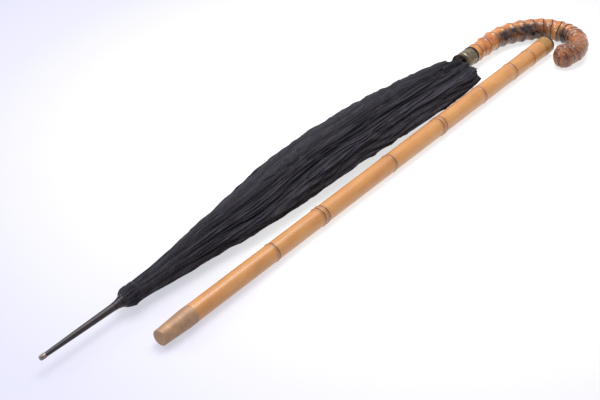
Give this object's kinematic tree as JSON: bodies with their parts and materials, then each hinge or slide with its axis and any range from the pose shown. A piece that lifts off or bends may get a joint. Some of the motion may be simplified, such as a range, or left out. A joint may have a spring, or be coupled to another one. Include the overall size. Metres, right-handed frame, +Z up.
{
  "type": "stick umbrella with a bamboo sheath",
  "caption": "Long stick umbrella with a knobbed bamboo-root crook, furled dark canopy and metal-tipped spike, lying beside its bamboo sheath",
  "frame": {"origin": "on the ground under the middle of the whole object's outline, umbrella and sheath together", "axes": "+X along the umbrella's shaft from the spike towards the handle, +Z up from the ground, the sheath on the -Y side"},
  "size_m": [0.8454, 0.149, 0.0332],
  "materials": {
    "bamboo_root": "gloss",
    "bamboo_cane": "satin",
    "brass": "satin",
    "dark_metal": "gloss",
    "worn_metal": "matte",
    "foot_metal": "matte",
    "steel": "satin",
    "silk": "matte"
  },
  "bodies": {
    "umbrella_frame": {"shaft": "steel", "spike": "dark_metal", "spike_tip": "worn_metal", "spike_cup": "dark_metal", "crown_rosette": "silk", "notch": "brass", "notch_wire": "steel", "stop_pin": "steel", "rib_tip_cup": "worn_metal", "handle_collar": "brass", "collar_band": "dark_metal", "crook_handle": "bamboo_root"},
    "runner_group": {"runner": "brass", "runner_wire": "steel"},
    "top_catch": {"top_spring": "steel"},
    "bottom_catch": {"bottom_spring": "steel"},
    "rib_group_1": {"rib_1": "dark_metal", "elbow_pin_1": "steel"},
    "stretcher_group_1": {"stretcher_1": "steel"},
    "gore_group_1": {"canopy_gore_1": "silk"},
    "rib_group_2": {"rib_2": "dark_metal", "elbow_pin_2": "steel"},
    "stretcher_group_2": {"stretcher_2": "steel"},
    "gore_group_2": {"canopy_gore_2": "silk"},
    "rib_group_3": {"rib_3": "dark_metal", "elbow_pin_3": "steel"},
    "stretcher_group_3": {"stretcher_3": "steel"},
    "gore_group_3": {"canopy_gore_3": "silk"},
    "rib_group_4": {"rib_4": "dark_metal", "elbow_pin_4": "steel"},
    "stretcher_group_4": {"stretcher_4": "steel"},
    "gore_group_4": {"canopy_gore_4": "silk"},
    "rib_group_5": {"rib_5": "dark_metal", "elbow_pin_5": "steel"},
    "stretcher_group_5": {"stretcher_5": "steel"},
    "gore_group_5": {"canopy_gore_5": "silk"},
    "rib_group_6": {"rib_6": "dark_metal", "elbow_pin_6": "steel"},
    "stretcher_group_6": {"stretcher_6": "steel"},
    "gore_group_6": {"canopy_gore_6": "silk"},
    "rib_group_7": {"rib_7": "dark_metal", "elbow_pin_7": "steel"},
    "stretcher_group_7": {"stretcher_7": "steel"},
    "gore_group_7": {"canopy_gore_7": "silk"},
    "rib_group_8": {"rib_8": "dark_metal", "elbow_pin_8": "steel"},
    "stretcher_group_8": {"stretcher_8": "steel"},
    "gore_group_8": {"canopy_gore_8": "silk"},
    "sheath_group": {"sheath_tube": "bamboo_cane", "sheath_mouth_collar": "brass", "sheath_mouth_rim": "dark_metal", "sheath_ferrule": "foot_metal", "sheath_foot_plate": "foot_metal"}
  },
  "joints": [
    {"name": "runner_slide", "type": "slide", "parent": "umbrella_frame", "child": "runner_group", "axis": [-1, 0, 0], "range_m": [0, 0.31648]},
    {"name": "top_spring_press", "type": "hinge", "parent": "umbrella_frame", "child": "top_catch", "pos_m": [-0.07722, 0.03086, 0.01622], "axis": [0, -1, 0], "range_deg": [0, 3.8], "stiffness_Nm_per_rad": 0.3},
    {"name": "bottom_spring_press", "type": "hinge", "parent": "umbrella_frame", "child": "bottom_catch", "pos_m": [0.17826, 0.03086, 0.01622], "axis": [0, 1, 0], "range_deg": [0, 3.8], "stiffness_Nm_per_rad": 0.3},
    {"name": "rib_1_swing", "type": "hinge", "parent": "umbrella_frame", "child": "rib_group_1", "pos_m": [-0.31074, 0.03511, 0.01573], "axis": [0, -0.3827, 0.9239], "range_deg": [0, 72.01]},
    {"name": "stretcher_1_swing", "type": "hinge", "parent": "rib_group_1", "child": "stretcher_group_1", "pos_m": [-0.07074, 0.03659, 0.01634], "axis": [0, 0.3827, -0.9239], "range_deg": [0, 137.85]},
    {"name": "gore_1_spread", "type": "hinge", "parent": "rib_group_1", "child": "gore_group_1", "pos_m": [-0.31074, 0.03439, 0.01749], "axis": [-0.5573, -0.5871, -0.5871], "range_deg": [0, 52.01], "deforming": ["canopy_gore_1"]},
    {"name": "rib_2_swing", "type": "hinge", "parent": "umbrella_frame", "child": "rib_group_2", "pos_m": [-0.31074, 0.03262, 0.01822], "axis": [0, -0.9239, 0.3827], "range_deg": [0, 72.01]},
    {"name": "stretcher_2_swing", "type": "hinge", "parent": "rib_group_2", "child": "stretcher_group_2", "pos_m": [-0.07074, 0.03324, 0.0197], "axis": [0, 0.9239, -0.3827], "range_deg": [0, 137.85]},
    {"name": "gore_2_spread", "type": "hinge", "parent": "rib_group_2", "child": "gore_group_2", "pos_m": [-0.31074, 0.03086, 0.01895], "axis": [-0.5573, 0, -0.8303], "range_deg": [0, 52.01], "deforming": ["canopy_gore_2"]},
    {"name": "rib_3_swing", "type": "hinge", "parent": "umbrella_frame", "child": "rib_group_3", "pos_m": [-0.31074, 0.0291, 0.01822], "axis": [0, -0.9239, -0.3827], "range_deg": [0, 72.01]},
    {"name": "stretcher_3_swing", "type": "hinge", "parent": "rib_group_3", "child": "stretcher_group_3", "pos_m": [-0.07074, 0.02849, 0.0197], "axis": [0, 0.9239, 0.3827], "range_deg": [0, 137.85]},
    {"name": "gore_3_spread", "type": "hinge", "parent": "rib_group_3", "child": "gore_group_3", "pos_m": [-0.31074, 0.02734, 0.01749], "axis": [-0.5573, 0.5871, -0.5871], "range_deg": [0, 52.01], "deforming": ["canopy_gore_3"]},
    {"name": "rib_4_swing", "type": "hinge", "parent": "umbrella_frame", "child": "rib_group_4", "pos_m": [-0.31074, 0.02661, 0.01573], "axis": [0, -0.3827, -0.9239], "range_deg": [0, 72.01]},
    {"name": "stretcher_4_swing", "type": "hinge", "parent": "rib_group_4", "child": "stretcher_group_4", "pos_m": [-0.07074, 0.02514, 0.01634], "axis": [0, 0.3827, 0.9239], "range_deg": [0, 137.85]},
    {"name": "gore_4_spread", "type": "hinge", "parent": "rib_group_4", "child": "gore_group_4", "pos_m": [-0.31074, 0.02589, 0.01397], "axis": [-0.5573, 0.8303, 0], "range_deg": [0, 52.01], "deforming": ["canopy_gore_4"]},
    {"name": "rib_5_swing", "type": "hinge", "parent": "umbrella_frame", "child": "rib_group_5", "pos_m": [-0.31074, 0.02661, 0.01221], "axis": [0, 0.3827, -0.9239], "range_deg": [0, 72.01]},
    {"name": "stretcher_5_swing", "type": "hinge", "parent": "rib_group_5", "child": "stretcher_group_5", "pos_m": [-0.07074, 0.02514, 0.0116], "axis": [0, -0.3827, 0.9239], "range_deg": [0, 137.85]},
    {"name": "gore_5_spread", "type": "hinge", "parent": "rib_group_5", "child": "gore_group_5", "pos_m": [-0.31074, 0.02734, 0.01045], "axis": [-0.5573, 0.5871, 0.5871], "range_deg": [0, 52.01], "deforming": ["canopy_gore_5"]},
    {"name": "rib_6_swing", "type": "hinge", "parent": "umbrella_frame", "child": "rib_group_6", "pos_m": [-0.31074, 0.0291, 0.00972], "axis": [0, 0.9239, -0.3827], "range_deg": [0, 72.01]},
    {"name": "stretcher_6_swing", "type": "hinge", "parent": "rib_group_6", "child": "stretcher_group_6", "pos_m": [-0.07074, 0.02849, 0.00824], "axis": [0, -0.9239, 0.3827], "range_deg": [0, 137.85]},
    {"name": "gore_6_spread", "type": "hinge", "parent": "rib_group_6", "child": "gore_group_6", "pos_m": [-0.31074, 0.03086, 0.00899], "axis": [-0.5573, 0, 0.8303], "range_deg": [0, 52.01], "deforming": ["canopy_gore_6"]},
    {"name": "rib_7_swing", "type": "hinge", "parent": "umbrella_frame", "child": "rib_group_7", "pos_m": [-0.31074, 0.03262, 0.00972], "axis": [0, 0.9239, 0.3827], "range_deg": [0, 72.01]},
    {"name": "stretcher_7_swing", "type": "hinge", "parent": "rib_group_7", "child": "stretcher_group_7", "pos_m": [-0.07074, 0.03324, 0.00824], "axis": [0, -0.9239, -0.3827], "range_deg": [0, 137.85]},
    {"name": "gore_7_spread", "type": "hinge", "parent": "rib_group_7", "child": "gore_group_7", "pos_m": [-0.31074, 0.03439, 0.01045], "axis": [-0.5573, -0.5871, 0.5871], "range_deg": [0, 52.01], "deforming": ["canopy_gore_7"]},
    {"name": "rib_8_swing", "type": "hinge", "parent": "umbrella_frame", "child": "rib_group_8", "pos_m": [-0.31074, 0.03511, 0.01221], "axis": [0, 0.3827, 0.9239], "range_deg": [0, 72.01]},
    {"name": "stretcher_8_swing", "type": "hinge", "parent": "rib_group_8", "child": "stretcher_group_8", "pos_m": [-0.07074, 0.03659, 0.0116], "axis": [0, -0.3827, -0.9239], "range_deg": [0, 137.85]},
    {"name": "gore_8_spread", "type": "hinge", "parent": "rib_group_8", "child": "gore_group_8", "pos_m": [-0.31074, 0.03584, 0.01397], "axis": [-0.5573, -0.8303, 0], "range_deg": [0, 52.01], "deforming": ["canopy_gore_8"]},
    {"name": "sheath_draw", "type": "slide", "parent": "umbrella_frame", "child": "sheath_group", "axis": [-1, 0, 0], "range_m": [0, 0.8]}
  ],
  "couplings": [
    {"joint": "rib_1_swing", "follows": "runner_slide", "rad_per_m": 3.9707},
    {"joint": "stretcher_1_swing", "follows": "runner_slide", "rad_per_m": 7.6014},
    {"joint": "gore_1_spread", "follows": "runner_slide", "rad_per_m": 2.8675},
    {"joint": "rib_2_swing", "follows": "runner_slide", "rad_per_m": 3.9707},
    {"joint": "stretcher_2_swing", "follows": "runner_slide", "rad_per_m": 7.6014},
    {"joint": "gore_2_spread", "follows": "runner_slide", "rad_per_m": 2.8675},
    {"joint": "rib_3_swing", "follows": "runner_slide", "rad_per_m": 3.9707},
    {"joint": "stretcher_3_swing", "follows": "runner_slide", "rad_per_m": 7.6014},
    {"joint": "gore_3_spread", "follows": "runner_slide", "rad_per_m": 2.8675},
    {"joint": "rib_4_swing", "follows": "runner_slide", "rad_per_m": 3.9707},
    {"joint": "stretcher_4_swing", "follows": "runner_slide", "rad_per_m": 7.6014},
    {"joint": "gore_4_spread", "follows": "runner_slide", "rad_per_m": 2.8675},
    {"joint": "rib_5_swing", "follows": "runner_slide", "rad_per_m": 3.9707},
    {"joint": "stretcher_5_swing", "follows": "runner_slide", "rad_per_m": 7.6014},
    {"joint": "gore_5_spread", "follows": "runner_slide", "rad_per_m": 2.8675},
    {"joint": "rib_6_swing", "follows": "runner_slide", "rad_per_m": 3.9707},
    {"joint": "stretcher_6_swing", "follows": "runner_slide", "rad_per_m": 7.6014},
    {"joint": "gore_6_spread", "follows": "runner_slide", "rad_per_m": 2.8675},
    {"joint": "rib_7_swing", "follows": "runner_slide", "rad_per_m": 3.9707},
    {"joint": "stretcher_7_swing", "follows": "runner_slide", "rad_per_m": 7.6014},
    {"joint": "gore_7_spread", "follows": "runner_slide", "rad_per_m": 2.8675},
    {"joint": "rib_8_swing", "follows": "runner_slide", "rad_per_m": 3.9707},
    {"joint": "stretcher_8_swing", "follows": "runner_slide", "rad_per_m": 7.6014},
    {"joint": "gore_8_spread", "follows": "runner_slide", "rad_per_m": 2.8675}
  ]
}
